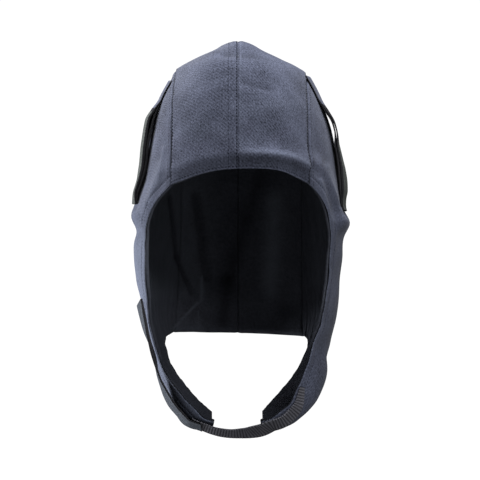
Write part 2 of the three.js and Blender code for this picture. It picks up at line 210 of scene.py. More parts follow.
# Large folds, which the solid model has too
FOLDS = {
    "front": table(FOLD_COLUMNS, [
        [-14, 13.5, 34, 12, 6, -2.6],
        [8, 37, 32, 42, 7, -1],
        [6, 97, 54, 103, 7, 2],
    ]),
    "right": table(FOLD_COLUMNS, [
        [-66, 106, -34, 148, 7, 2.2],
        [-74, 118, -48, 168, 7, 1.8],
        [-40, 151, 22, 151, 9, 6],
        [-50, 252, -10, 262, 10, -2.5],
    ]),
    "left": table(FOLD_COLUMNS, [
        [-64, 112, -48, 152, 7, 1.6],
        [-38, 145, 14, 145, 8, 3],
        [-38, 157, 18, 158, 7, -2.4],
    ]),
}
# Small creases of the shell
CREASES = {
    "front": table(FOLD_COLUMNS, [
        [-64, 104, -71, 134, 2.6, 0.8],
        [-59, 92, -64, 121, 2.2, 0.7],
        [-22, 38, -6, 33, 4, -0.5],
        [4, 41, 27, 47, 2.6, -0.8],
        [-10, 16, 14, 18, 3, -1.2],
        [-30, 78, -8, 84, 6, 0.5],
        [12, 62, 48, 58, 7, 0.5],
        [66, 118, 76, 150, 2, 1],
        [72, 106, 84, 140, 2.4, 1],
        [73, 190, 66, 232, 3, 0.6],
        [67, 236, 55, 262, 3, 0.6],
    ]),
}
# Wrinkles of the lining, with their rise counted inwards
LINING_FOLDS = {
    "front": table(FOLD_COLUMNS, [
        [-62, 127, -56, 181, 2, -1.2],
        [-56, 181, -42, 212, 2, -1.2],
        [-39, 126, -28, 198, 4, -1.2],
        [-33, 198, -33, 220, 1.6, 1.1],
        [-37, 221, -58, 242, 1.6, 1.1],
        [-37, 229, -35, 242, 1.6, 0.9],
        [19, 108, -9, 200, 7, -1.6],
        [-9, 200, -14, 236, 6, -1.2],
        [34, 130, 28, 230, 9, 1],
    ]),
}
# Direction of each view, and the axis that u lies along
VIEWS = {"front": ((0, -1, 0), 0), "left": ((-1, 0, 0), 1), "right": ((1, 0, 0), 1)}


def curve(rows, along, column):
    """Monotone cubic through one column of a table, so that no curve overshoots its rows."""
    at, value = rows[along], rows[column]
    step = np.diff(at)
    rate = np.diff(value) / step
    same = rate[:-1] * rate[1:] > 0
    slope = np.empty(len(at))
    slope[0], slope[-1] = rate[0], rate[-1]
    slope[1:-1] = np.where(same, 2 * rate[:-1] * rate[1:] / np.where(same, rate[:-1] + rate[1:], 1), 0)

    def value_at(t):
        i = np.clip(np.searchsorted(at, t) - 1, 0, len(step) - 1)
        s = np.clip((t - at[i]) / step[i], 0, 1)
        rest = 1 - s
        ends = rest**2 * (1 + 2 * s) * value[i] + s**2 * (3 - 2 * s) * value[i + 1]
        return ends + step[i] * s * rest * (rest * slope[i] - s * slope[i + 1])

    return value_at


LEVEL_COUNT = 8000
LEVELS = np.linspace(FORM["h"][0], FORM["h"][-1], LEVEL_COUNT)
SECTION = {name: curve(FORM, "h", name)(LEVELS) for name in FORM}
LEAST = 0.05  # half size that a section keeps at the form's ends
RAY_REACH = 260.0  # past the farthest point of the form
RAY_HALVINGS = 30


def section(name, h):
    return np.interp(h, LEVELS, SECTION[name])


def shape(x, y, z):
    """Below 0 inside the form."""
    h = CROWN_TOP - z
    half = np.maximum(np.where(x < 0, section("left", h), section("right", h)), LEAST)
    wide = section("wide", h)
    depth = np.maximum(np.where(y < wide, wide - section("front", h), section("back", h) - wide), LEAST)
    power = section("round", h)
    inside = (np.abs(x) / half) ** power + (np.abs(y - wide) / depth) ** power - 1
    return np.where((h <= LEVELS[0]) | (h >= LEVELS[-1]), 1, inside)


def depth_at(x, h, end):
    """The y on the form at x and h, in front (-1) or behind (1)."""
    half = np.where(x < 0, section("left", h), section("right", h))
    wide = section("wide", h)
    depth = wide - section("front", h) if end < 0 else section("back", h) - wide
    power = section("round", h)
    return wide + end * depth * np.clip(1 - (np.abs(x) / half) ** power, 0, 1) ** (1 / power)


def leave(start, direction):
    """Where rays from inside leave the form."""
    inside = np.zeros(start.shape[:-1])
    outside = np.full(start.shape[:-1], RAY_REACH)
    for _ in range(RAY_HALVINGS):
        middle = (inside + outside) / 2
        p = start + direction * middle[..., None]
        within = shape(p[..., 0], p[..., 1], p[..., 2]) < 0
        inside = np.where(within, middle, inside)
        outside = np.where(within, outside, middle)
    return start + direction * inside[..., None]


def stack(*parts):
    return np.stack(np.broadcast_arrays(*parts), axis=-1).astype(float)


def crown_form(x, angle):
    return leave(stack(x, 0, AXIS_Z), stack(np.zeros_like(x), -np.cos(angle), np.sin(angle)))


def side_form(y, angle):
    return leave(stack(0, y, AXIS_Z), stack(np.cos(angle), np.zeros_like(y), np.sin(angle)))


def smooth(low, high, value):
    t = np.clip((value - low) / (high - low), 0, 1)
    return t * t * (3 - 2 * t)


def unit(v):
    return v / np.maximum(np.linalg.norm(v, axis=-1, keepdims=True), 1e-9)


FACING = 0.35  # part of a unit normal that points to a view, from which on its folds are full


def fold_rise(points, normals, folds):
    """Height that folds add to points along their normals."""
    rise = np.zeros(points.shape[:-1])
    for view, rows in folds.items():
        towards, axis = VIEWS[view]
        facing = smooth(0, FACING, normals @ np.array(towards, float))
        u, h = points[..., axis], CROWN_TOP - points[..., 2]
        for u1, h1, u2, h2, reach, height in zip(*rows.values()):
            run_u, run_h = u2 - u1, h2 - h1
            share = np.clip(((u - u1) * run_u + (h - h1) * run_h) / (run_u**2 + run_h**2), 0, 1)
            away = np.hypot(u - u1 - share * run_u, h - h1 - share * run_h)
            rise += facing * height * np.exp(-((away / reach) ** 2))
    return rise


STEP_LENGTH, STEP_ANGLE = 4, 0.035  # to each side of a point whose normal is wanted


def normal_of(surface, y, angle):
    across = surface(y + STEP_LENGTH, angle) - surface(y - STEP_LENGTH, angle)
    along = surface(y, angle + STEP_ANGLE) - surface(y, angle - STEP_ANGLE)
    return unit(np.cross(across, along))


def folded_side(y, angle):
    point = side_form(y, angle)
    normal = normal_of(side_form, y, angle)
    return point + normal * fold_rise(point, normal, FOLDS)[..., None]


def cloth_at(y, angle):
    """Point and normal of the folded side of the form, for the straps that lie over it."""
    return folded_side(y, angle), normal_of(folded_side, y, angle)


SEAM_X = {side: curve(SEAM, "share", side) for side in SIGN}


def crown_line(side, out, along):
    """x and ray angle of a crown point at a share of the way out to the seam and along to the nape."""
    share = along * (CLOSER + (1 - CLOSER) * along)
    x = SIGN[side] * out * SEAM_X[side](share)
    brow = FOREHEAD_MIDDLE + (FOREHEAD_SEAM - FOREHEAD_MIDDLE) * out ** FOREHEAD_BOW[side]
    forehead = np.arctan2(AXIS_LEVEL - brow, -depth_at(x, brow, -1))
    hem = HEM_MIDDLE + HEM_TILT * x
    nape = np.arctan2(AXIS_LEVEL - hem, -depth_at(x, hem, 1)) + 2 * math.pi
    return x, forehead + (nape - forehead) * share


def run_lengths(points, axis):
    """Length along a grid's lines from their first point."""
    steps = np.linalg.norm(np.diff(points, axis=axis), axis=-1)
    first = np.zeros_like(np.take(steps, [0], axis=axis))
    return np.concatenate([first, np.cumsum(steps, axis=axis)], axis=axis)


def read_line(values, run, lengths):
    """Values that are given along a run, read at other lengths of it."""
    return np.stack([np.interp(lengths, run, column) for column in values.T], axis=1)


def evenly(points, shares):
    run = run_lengths(points, 0)
    return read_line(points, run, shares * run[-1])


def fanned(p):
    """Points of a side panel laid flat: y, and the ray angle as a length."""
    return stack(p[..., 1], FAN_RADIUS * np.arctan2(p[..., 2] - AXIS_Z, np.abs(p[..., 0])))


def edge(rows, side, end, shares):
    """An edge of a side panel laid flat, in front (-1) or behind (1)."""
    h = np.linspace(rows["h"][0], rows["h"][-1], EDGE_POINTS)
    x = SIGN[side] * curve(rows, "h", side)(h)
    return fanned(evenly(stack(x, depth_at(x, h, end), CROWN_TOP - h), shares))


def seam_of(side, shares):
    gap = 1 + SEAM_GAP / 2 / SEAM_X[side](np.zeros(1))
    return fanned(crown_form(*crown_line(side, gap, shares)))


def relax(cells, passes=900):
    """Moves a patch's inner points until its lines spread evenly and none cross."""
    for _ in range(passes):
        east, west = cells[1:-1, 2:], cells[1:-1, :-2]
        north, south = cells[2:, 1:-1], cells[:-2, 1:-1]
        across, along = east - west, north - south
        twist = cells[2:, 2:] + cells[:-2, :-2] - cells[2:, :-2] - cells[:-2, 2:]
        a = (along**2).sum(-1, keepdims=True)
        c = (across**2).sum(-1, keepdims=True)
        b = (across * along).sum(-1, keepdims=True)
        cells[1:-1, 1:-1] = (a * (east + west) + c * (north + south) - b / 2 * twist) / (2 * (a + c))


def refine(cells, places, axis):
    """Smooth curves through the cells along an axis, read at fractional places."""
    cells = np.moveaxis(cells, axis, 0)
    held = np.concatenate([[2 * cells[0] - cells[1]], cells, [2 * cells[-1] - cells[-2]]])
    i = np.clip(places.astype(int), 0, len(cells) - 2)
    s = (places - i)[:, None, None]
    a, b, c, d = (held[i + k] for k in range(4))
    cells = b + s / 2 * (c - a + s * (2 * a - 5 * b + 4 * c - d + s * (3 * (b - c) + d - a)))
    return np.moveaxis(cells, 0, axis)


def crowded(count, share=0.6):
    """Shares from 0 to 1 that lie closer together at both ends."""
    t = np.linspace(0, 1, count + 1)
    return t - share * np.sin(2 * math.pi * t) / (2 * math.pi)


def side_points(side, lines):
    """Points of a side panel: lines spread flat between its edges and then laid on the form."""
    u, v = np.linspace(0, 1, COARSE["across"] + 1), np.linspace(0, 1, COARSE["along"] + 1)
    seam, face, rear = seam_of(side, u), edge(FACE_EDGE, side, -1, v), edge(REAR_EDGE, side, 1, v)
    face = face + (seam[0] - face[0]) * (1 - v)[:, None]
    rear = rear + (seam[-1] - rear[0]) * (1 - v)[:, None]
    uu, vv = u[None, :, None], v[:, None, None]
    tip = face[-1] + (rear[-1] - face[-1]) * u[:, None]
    along = seam[None] * (1 - vv) + tip[None] * vv
    across = face[:, None] * (1 - uu) + rear[:, None] * uu
    corners = (seam[0] * (1 - uu) + seam[-1] * uu) * (1 - vv) + tip[None] * vv
    cells = along + across - corners
    relax(cells)
    # Points are spaced evenly along the face edge, and keep their own spacing at the rear edge
    columns = np.stack([evenly(cells[:, i], v) for i in range(len(u))], axis=1)
    cells = columns + (cells - columns) * uu**3
    fine_u, fine_v = crowded(lines[0]), crowded(lines[1])
    cells = refine(cells, fine_u * COARSE["across"], 1)
    cells = refine(cells, fine_v * COARSE["along"], 0)
    exact = seam_of(side, fine_u)
    cells = cells + (exact - cells[0]) * (1 - smooth(0, SEAM_BLEND, fine_v))[:, None, None]
    angle = cells[..., 1] / FAN_RADIUS
    return side_form(cells[..., 0], math.pi - angle if side == "left" else angle)


def crown_points(side, lines):
    """Points of a crown panel, out from the centre seam and along from the forehead to the nape."""
    u, v = crowded(lines[0]), np.linspace(0, 1, lines[1] + 1)
    reach = SEAM_X[side](v * (CLOSER + (1 - CLOSER) * v))[:, None]
    margin = SEAM_GAP / 2 / reach
    x, angle = crown_line(side, margin + (1 - 2 * margin) * u[None, :], v[:, None] + 0 * u[None, :])
    return crown_form(x, angle)


def grid_normals(points):
    normal = unit(np.cross(np.gradient(points, axis=1), np.gradient(points, axis=0)))
    away = points - np.array([0, 0, AXIS_Z])
    return normal * np.sign((normal * away).sum())


def from_line(points, line):
    """Distance of each point from a line of points."""
    nearest = np.full(points.shape[:-1], np.inf)
    for a, b in zip(line[:-1], line[1:]):
        run = b - a
        share = np.clip(((points - a) @ run) / (run @ run), 0, 1)
        nearest = np.minimum(nearest, np.linalg.norm(points - a - share[..., None] * run, axis=-1))
    return nearest


NOISE_CELLS = 64


def noise(u, v, scale, seed):
    """Smooth seeded noise from -1 to 1 over a plane, with lumps of about that scale."""
    values = np.random.default_rng(SEED + seed).uniform(-1, 1, (NOISE_CELLS, NOISE_CELLS))
    u, v = u / scale, v / scale
    i, j = np.floor(u).astype(int), np.floor(v).astype(int)
    s, t = smooth(0, 1, u - i), smooth(0, 1, v - j)
    i, next_i = i % NOISE_CELLS, (i + 1) % NOISE_CELLS
    j, next_j = j % NOISE_CELLS, (j + 1) % NOISE_CELLS
    low = values[i, j] * (1 - s) + values[next_i, j] * s
    high = values[i, next_j] * (1 - s) + values[next_i, next_j] * s
    return low * (1 - t) + high * t


def line_at(away, place, reach, height):
    """A soft line of a given height, at a place counted from where away is 0."""
    return height * np.exp(-(((away - place) / reach) ** 2))


def grown(value, low, high, height):
    """0 until the value is low, and the whole height once it is high."""
    return height * smooth(low, high, value)


# Panels


def panel(kind, side, lines):
    """A panel's cloth: outer points, normals, cloth coordinates and distances from its edges.

    first, last, start and end are a crown panel's centre seam, side seam, forehead edge and nape hem,
    and a side panel's face edge, rear edge, crown seam and flap tip.
    """
    points = crown_points(side, lines) if kind == "crown" else side_points(side, lines)
    normals = grid_normals(points)
    points = points + normals * fold_rise(points, normals, FOLDS)[..., None]
    across, along = run_lengths(points, 1), run_lengths(points, 0)
    edges = {"first": across, "last": across[:, -1:] - across, "start": along, "end": along[-1:] - along}
    s = across * SIGN[side]
    t = np.broadcast_to(along.mean(axis=1, keepdims=True), s.shape)
    return {
        "kind": kind,
        "side": side,
        "points": points,
        "normals": grid_normals(points),
        "edges": edges,
        "rim": np.minimum.reduce(list(edges.values())),
        "cloth": stack(s, t),
        "face": from_line(points, points[0] if kind == "crown" else points[:, 0]),
        "seam": from_line(points, points[:, -1] if kind == "crown" else points[0]),
    }


def roll(rim, radius):
    """How far a rounded edge falls away, at each distance from the edge."""
    short = radius - np.minimum(rim, radius)
    return radius - np.sqrt(np.maximum(radius**2 - short**2, 0))


def new_mesh(name, points, faces, cloth=None):
    mesh = bpy.data.meshes.new(name)
    mesh.from_pydata((points * MM).tolist(), [], faces)
    mesh.polygons.foreach_set("use_smooth", np.ones(len(mesh.polygons), bool))
    if cloth is not None:
        layer = mesh.uv_layers.new(name="cloth")
        corner = np.empty(len(mesh.loops), np.int32)
        mesh.loops.foreach_get("vertex_index", corner)
        layer.data.foreach_set("uv", cloth[corner].astype(np.float32).ravel())
    mesh.validate()
    return mesh


def add_piece(name, mesh, materials, nodes):
    piece = bpy.data.objects.new(name, mesh)
    bpy.context.scene.collection.objects.link(piece)
    for material in materials:
        mesh.materials.append(material)
    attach(piece, "root")
    if nodes:
        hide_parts(*nodes)
    return piece


def wall_faces(rows, columns):
    """Faces of a closed wall between two grids of points."""
    at = np.arange(rows * columns).reshape(rows, columns)
    top = stack(at[:-1, :-1], at[:-1, 1:], at[1:, 1:], at[1:, :-1]).reshape(-1, 4).astype(int)
    layer = rows * columns
    rim = np.concatenate([at[0, :-1], at[:-1, -1], at[-1, :0:-1], at[:0:-1, 0]])
    after = np.roll(rim, -1)
    side = np.stack([rim, rim + layer, after + layer, after], axis=1)
    return np.concatenate([top, top[:, ::-1] + layer, side])


def facing_out(points, faces):
    corners = points[faces]
    middle = corners.mean(axis=1)
    normal = np.cross(corners[:, 2] - corners[:, 0], corners[:, 3] - corners[:, 1])
    return faces if (middle * normal).sum() > 0 else faces[:, ::-1]


def wall(cloth, depths, wear_and_painted_light, material, node):
    """One ply of a panel between two depths under the form."""
    name = f"{node}_cloth"
    points = np.concatenate([
        (cloth["points"] - cloth["normals"] * depth[..., None]).reshape(-1, 3) for depth in depths
    ])
    coordinates = np.tile(cloth["cloth"].reshape(-1, 2), (2, 1))
    faces = facing_out(points, wall_faces(*cloth["rim"].shape))
    mesh = new_mesh(name, points, faces.tolist(), coordinates)
    # Point attribute of wear and of painted highlight and shade, read by the cloths' materials
    layer = mesh.attributes.new("wear_and_painted_light", "FLOAT", "POINT")
    layer.data.foreach_set("value", np.tile(wear_and_painted_light.ravel(), 2).astype(np.float32))
    piece = add_piece(name, mesh, [material], [node])


# Materials

# Sizes of the patterns in the cloths
TWILL_PITCH, YARN_PITCH = 2, 0.55
MELANGE, FADING = 1.5, 26
SLUB, SLUB_DRAWN = 1.1, 0.08  # width of a slub, and that width as a share of its length
NAP, PILLS, FLEECE_PATCHES = 0.5, 2.6, 22
WARP_PITCH, TAPE_GRAIN, TAPE_PATCHES = 0.7, 0.6, 9
PILE_PITCH, TAPE_PITCH = 1.1, 0.9
THREAD_PLY = 0.0004  # in metres
SHEEN_ROUGHNESS = 0.45


def add_node(tree, kind, inputs=None, **settings):
    node = tree.nodes.new(kind)
    for key, value in settings.items():
        setattr(node, key, value)
    for key, value in (inputs or {}).items():
        if isinstance(value, bpy.types.NodeSocket):
            tree.links.new(value, node.inputs[key])
        else:
            node.inputs[key].default_value = value
    return node


def maths(tree, operation, a, b):
    return add_node(tree, "ShaderNodeMath", {0: a, 1: b}, operation=operation).outputs[0]


def weighted(tree, *parts):
    """Sum of values, each times its weight."""
    total = None
    for value, weight in parts:
        part = maths(tree, "MULTIPLY", value, weight)
        total = part if total is None else maths(tree, "ADD", total, part)
    return total


def mixed(tree, share, a, b):
    return add_node(tree, "ShaderNodeMix", {0: share, 6: a, 7: b}, data_type="RGBA").outputs[2]


def scaled(tree, value, low, high, to_low, to_high):
    inputs = {"Value": value, "From Min": low, "From Max": high, "To Min": to_low, "To Max": to_high}
    return add_node(tree, "ShaderNodeMapRange", inputs).outputs[0]


def linear(red, green, blue):
    """A colour given in 0 to 255 as it looks on a screen."""
    parts = np.array([red, green, blue]) / 255
    return (*np.where(parts <= 0.04045, parts / 12.92, ((parts + 0.055) / 1.055) ** 2.4).tolist(), 1)


def bands(tree, vector, pitch, direction, distortion):
    """Even bands with a pitch in the vector's own units."""
    phase = {"X": 20, "Y": 20, "DIAGONAL": 10 * math.sqrt(2)}[direction]  # radians for each unit at scale 1
    inputs = {"Vector": vector, "Scale": 2 * math.pi / phase / pitch, "Distortion": distortion}
    inputs |= {"Detail": 1.0, "Detail Scale": 0.6}
    node = add_node(tree, "ShaderNodeTexWave", inputs, wave_type="BANDS", bands_direction=direction)
    return node.outputs["Fac"]


def lumps(tree, vector, size, detail=2.0):
    inputs = {"Vector": vector, "Scale": 1 / size, "Detail": detail, "Roughness": 0.55}
    return add_node(tree, "ShaderNodeTexNoise", inputs).outputs["Fac"]


def new_material(name):
    material = bpy.data.materials.new(name)
    material.use_nodes = True
    tree = material.node_tree
    return material, tree, tree.nodes["Principled BSDF"]


def finish_cloth(tree, shader, colour, height, depth, strength, roughness, sheen=0):
    """Dull cloth with a bump of a depth in metres."""
    bump = add_node(tree, "ShaderNodeBump", {"Height": height, "Distance": depth, "Strength": strength})
    tree.links.new(bump.outputs[0], shader.inputs["Normal"])
    tree.links.new(colour, shader.inputs["Base Color"])
    shader.inputs["Roughness"].default_value = roughness
    shader.inputs["Sheen Weight"].default_value = sheen
    shader.inputs["Sheen Roughness"].default_value = SHEEN_ROUGHNESS
    shader.inputs["Specular IOR Level"].default_value = 0


def twill_material():
    material, tree, shader = new_material("navy_twill")
    cloth = add_node(tree, "ShaderNodeUVMap", uv_map="cloth").outputs[0]
    wear_and_painted_light = add_node(tree, "ShaderNodeAttribute", attribute_name="wear_and_painted_light").outputs["Fac"]
    ribs = bands(tree, cloth, TWILL_PITCH, "DIAGONAL", distortion=0.5)
    yarns = bands(tree, cloth, YARN_PITCH, "Y", distortion=0.4)
    weave = weighted(tree, (ribs, 0.7), (yarns, 0.3))
    melange = lumps(tree, cloth, MELANGE, detail=4)
    fading = lumps(tree, cloth, FADING, detail=3)
    drawn_out = add_node(tree, "ShaderNodeMapping", {"Vector": cloth, "Scale": (1, SLUB_DRAWN, 1)})
    slubs = lumps(tree, drawn_out.outputs[0], SLUB)
    speckle = scaled(tree, melange, 0.32, 0.68, 0, 1)
    tone = weighted(tree, (weave, 0.16), (speckle, 0.42), (fading, 0.55), (slubs, 0.25))
    tone = scaled(tree, tone, 0.36, 0.98, 0, 1)
    colour = mixed(tree, tone, linear(12, 13, 17.5), linear(42, 44.5, 54))
    patchy = scaled(tree, melange, 0.35, 0.65, 0.5, 1)
    # Lighter twill where the attribute is above 0: rubbed edges, and painted highlights on edges, ridges,
    # crease tops and the lower left side
    painted_light_and_tone = maths(tree, "MULTIPLY", scaled(tree, wear_and_painted_light, 0, 1, 0, 0.6), patchy)
    colour = mixed(tree, painted_light_and_tone, colour, linear(56, 60, 70))
    # Darker twill where it is below 0: painted shade in seams, crease hollows, the brow band and the lower
    # right side
    colour = mixed(tree, scaled(tree, wear_and_painted_light, 0, -1, 0, 0.9), colour, linear(5, 6, 8))
    height = weighted(tree, (weave, 1), (melange, 0.35))
    finish_cloth(tree, shader, colour, height, depth=0.0004, strength=0.25, roughness=0.85, sheen=0.015)
    return material


def fleece_material():
    material, tree, shader = new_material("black_fleece")
    cloth = add_node(tree, "ShaderNodeUVMap", uv_map="cloth").outputs[0]
    wear_and_painted_light = add_node(tree, "ShaderNodeAttribute", attribute_name="wear_and_painted_light").outputs["Fac"]
    nap = lumps(tree, cloth, NAP, detail=3)
    pills = lumps(tree, cloth, PILLS)
    patches = lumps(tree, cloth, FLEECE_PATCHES)
    tone = weighted(tree, (nap, 0.5), (pills, 0.3), (patches, 0.2))
    colour = mixed(tree, scaled(tree, tone, 0.3, 0.75, 0, 1), linear(14, 15, 18), linear(42, 44, 50))
    # Lighter fleece where the attribute is above 0: painted light at the left inside and on wrinkle ridges,
    # and a lighter strip at the right
    colour = mixed(tree, wear_and_painted_light, colour, linear(64, 68, 75))
    # Darker fleece where it is below 0: painted shade on the flaps and in wrinkle hollows, and a darker rim
    # band
    colour = mixed(tree, scaled(tree, wear_and_painted_light, 0, -1, 0, 0.9), colour, linear(3, 3, 4))
    height = weighted(tree, (nap, 1), (pills, 0.8))
    finish_cloth(tree, shader, colour, height, depth=0.0006, strength=0.7, roughness=0.95)
    return material


def strap_material(name, dark, light, rib_pitch):
    """Woven tape: cross threads over lengthwise warp, unevenly dusty."""
    material, tree, shader = new_material(name)
    cloth = add_node(tree, "ShaderNodeUVMap", uv_map="cloth").outputs[0]
    ribs = bands(tree, cloth, rib_pitch, "X", distortion=0.2)
    warp = bands(tree, cloth, WARP_PITCH, "Y", distortion=0.6)
    grain = lumps(tree, cloth, TAPE_GRAIN, detail=3)
    patches = lumps(tree, cloth, TAPE_PATCHES)
    tone = weighted(tree, (ribs, 0.35), (warp, 0.2), (grain, 0.4), (patches, 0.25))
    colour = mixed(tree, scaled(tree, tone, 0.35, 0.95, 0, 1), dark, light)
    height = weighted(tree, (ribs, 0.7), (warp, 0.5), (grain, 0.4))
    finish_cloth(tree, shader, colour, height, depth=0.0003, strength=0.6, roughness=0.75)
    return material


def thread_material():
    material, tree, shader = new_material("navy_thread")
    place = add_node(tree, "ShaderNodeTexCoord").outputs["Object"]
    ply = lumps(tree, place, THREAD_PLY)
    colour = mixed(tree, scaled(tree, ply, 0.35, 0.65, 0, 1), linear(4, 5, 8), linear(12, 13, 18))
    finish_cloth(tree, shader, colour, ply, depth=0.0001, strength=0.5, roughness=0.6)
    return material


TWILL = twill_material()
FLEECE = fleece_material()
PILE = strap_material("black_pile", linear(7, 7, 8), linear(24, 24, 26), PILE_PITCH)
TAPE_BACK = strap_material("grey_tape_back", linear(24, 25, 25), linear(50, 52, 51), TAPE_PITCH)
WEBBING = strap_material("ribbed_webbing", linear(18, 18, 20), linear(50, 50, 54), RIB_PITCH)
HOOK_BACK = strap_material("hook_tape", linear(15, 16, 18), linear(49, 52, 57), TAPE_PITCH)
THREAD = thread_material()


# Stitches

STITCH_PITCH, STITCH_LENGTH = 2.7, 1.9
STITCH_SIGHT = 0.6  # how far a stitch looks ahead and back for its direction
STITCH_SIDES = 6
SIDE_STITCHED = 6.5  # stitched line inside a side panel's face edge
# Rings of a stitch: place as a share of its half length, girth and rise as shares of its radius
STITCH_RINGS = ((-1, 0.35, -0.5), (-0.7, 0.8, 0.0), (0, 1, 0.25), (0.7, 0.8, 0.0), (1, 0.35, -0.5))
# Rows of stitches: the edge that each follows, its distance and the thread's radius
STITCH_ROWS = {
    "crown": [("last", 1.8, 0.3), ("start", 1.8, 0.22), ("end", 8, 0.3)],
    "side": [("start", 4.2, 0.18), ("face", SIDE_STITCHED, 0.16)],
}
# The centre seam's rows lie on the left panel only
CENTRE_ROWS = {("crown", "left"): [("first", 1, 0.42), ("first", 7.6, 0.2)]}
stitch_points, stitch_faces = [], []


def stitch_row(line, normals, radius):
    """Thread along a line: each stitch rises from its hole, lies on the cloth and goes down again."""
    run = run_lengths(line, 0)
    count = int(run[-1] / STITCH_PITCH)
    centres = (np.arange(count) + 0.5) * run[-1] / count
    where = read_line(line, run, centres)
    up = unit(read_line(normals, run, centres))
    ahead = read_line(line, run, centres + STITCH_SIGHT)
    behind = read_line(line, run, centres - STITCH_SIGHT)
    forward = unit(ahead - behind)
    across = unit(np.cross(up, forward))
    turn = np.arange(STITCH_SIDES) * 2 * math.pi / STITCH_SIDES
    first = sum(len(p) for p in stitch_points)
    rings = []
    for place, girth, rise in STITCH_RINGS:
        middle = where + forward * place * STITCH_LENGTH / 2 + up * rise * radius
        ring = middle[:, None] + across[:, None] * (np.cos(turn) * radius * girth)[None, :, None]
        rings.append(ring + up[:, None] * (np.sin(turn) * radius * girth)[None, :, None])
    points = np.stack(rings, axis=1)
    at = first + np.arange(points[..., 0].size).reshape(points.shape[:3])
    after = np.roll(at, -1, axis=2)
    quads = stack(at[:, :-1], after[:, :-1], after[:, 1:], at[:, 1:]).astype(int).reshape(-1, 4)
    stitch_points.append(points.reshape(-1, 3))
    stitch_faces.extend(quads.tolist())
    stitch_faces.extend(at[:, 0, ::-1].tolist())
    stitch_faces.extend(at[:, -1].tolist())


def level_line(cloth, surface, field, level, rows_first):
    """The line on a panel where a distance reaches a level, one point for each row or column."""
    values = field if rows_first else field.T
    places = surface if rows_first else surface.transpose(1, 0, 2)
    normals = cloth["normals"] if rows_first else cloth["normals"].transpose(1, 0, 2)
    line, ups = [], []
    for value, place, normal in zip(values, places, normals):
        passed = np.nonzero((value[:-1] - level) * (value[1:] - level) <= 0)[0]
        if len(passed) == 0:
            continue
        i = passed[0]
        share = (level - value[i]) / (value[i + 1] - value[i])
        line.append(place[i] + (place[i + 1] - place[i]) * share)
        ups.append(normal[i])
    return np.array(line), np.array(ups)


def stitch_panel(cloth, surface):
    kind, side = cloth["kind"], cloth["side"]
    for name, away, radius in STITCH_ROWS[kind] + CENTRE_ROWS.get((kind, side), []):
        field = cloth["edges"].get(name, cloth["face"])
        line, ups = level_line(cloth, surface, field, away, name in ("first", "last", "face"))
        stitch_row(line, ups, radius)


# Shell and lining

SHELL_ROLL, LINING_ROLL = 0.62, 1.2  # radii of their rounded edges
RIDGE_AT, RIDGE_REACH = 11.5, 3.6  # ridge above the forehead edge
RIDGE_LEAST = 0.4  # its height at the left
RIM_BAND = 8.5  # width of the lining's band inside a face edge
RIM_SHADED, RIM_POWER = 7.5, 8  # width of that band's dark part, and how sharply it ends
FLEECE_LEAST = 0.6  # thickness that the fleece keeps in its grooves
# Unevenness of the cloths: size and height of its lumps
SHELL_LUMPS = ((24, 0.35), (8, 0.15))
LINING_LUMPS = ((18, 0.4), (6, 0.2))
SHELL_SEEDS = {"left": 3, "right": 7}
LINING_SEEDS = {"left": 20, "right": 26}
PUCKER_PITCH, PUCKER_SEED = 7, 10
# Lines on the cloths: distance from an edge or a seam, reach and height or depth
LEAN = (0, 8, 2.6)  # of the forehead edge, inwards
PUCKER = (0, 6, 0.22)
SEAM_DIP = (0, 1.6, 0.35)
SEAM_SWELL = (3.2, 2, 0.25)
SIDE_GROOVE = (SIDE_STITCHED, 1.1, 0.4)
LINING_GROOVE = (RIM_BAND, 1.1, 1.5)
LINING_SEAM = (0, 2, 0.7)
# Lines of wear, painted highlight and painted shade: distance from an edge or a seam, reach and strength
# Free edges, lighter: rubbed, and a painted highlight where the turned edge catches light
EDGE_WEAR_AND_HIGHLIGHT = (0, 0.9, 0.4)
# Painted highlight along the ridge above the forehead edge
RIDGE_HIGHLIGHT = (RIDGE_AT + 1.5, 2.4, 0.4)
# Painted shade in the grooves of the side seams and of the centre seam
SEAM_SHADE = (0, 0.8, 1)
CENTRE_SHADE = (0, 0.5, 0.15)
# A lighter line 2 mm to the right of the centre seam
CENTRE_LIGHT_LINE = (2, 0.7, 0.35)
# What grows across the cap: from, to and how much
LEAN_GROWS = (0, 16, 1)  # away from the crown's seam
RIDGE_GROWS = (-10, 30, 1.5)  # over x
# Painted highlight on the ridge, growing towards the right
RIDGE_HIGHLIGHT_GROWS = (-5, 15, 1)  # over x
# Painted shade on the band under the ridge, which leans inwards
BROW_SHADE = (RIDGE_AT, RIDGE_AT - 5, 0.3)  # towards the forehead edge
# Painted light on the lower left side panel, where the key light falls
LEFT_PAINTED_LIGHT = (120, 185, 1)  # over h
# Painted shade on the lower right side panel
RIGHT_SHADE = (150, 240, 0.15)  # over h
# Painted light on the lining's left inside
FLEECE_LEFT_PAINTED_LIGHT = (-5, -50, 0.22)  # over x
FLEECE_RIGHT = (60, 75, 0.1)  # over x
# Painted shade on the lining's lower part and the flaps
FLAP_SHADE = (195, 270, 0.8)  # over h
# Painted highlight and shade for each millimetre that a crease or a wrinkle rises or sinks, and shade of
# the lining's band
CREASE_PAINTED_LIGHT, WRINKLE_PAINTED_LIGHT, RIM_SHADE = 0.3, 0.28, 0.15


def uneven(cloth, layers, seed):
    """Height of a panel's unevenness, added up from layers of lumps."""
    s, t = cloth["cloth"][..., 0], cloth["cloth"][..., 1]
    return sum(height * noise(s, t, size, seed + k) for k, (size, height) in enumerate(layers))


def lean_of(cloth):
    return line_at(cloth["face"], *LEAN) * grown(cloth["edges"]["last"], *LEAN_GROWS)


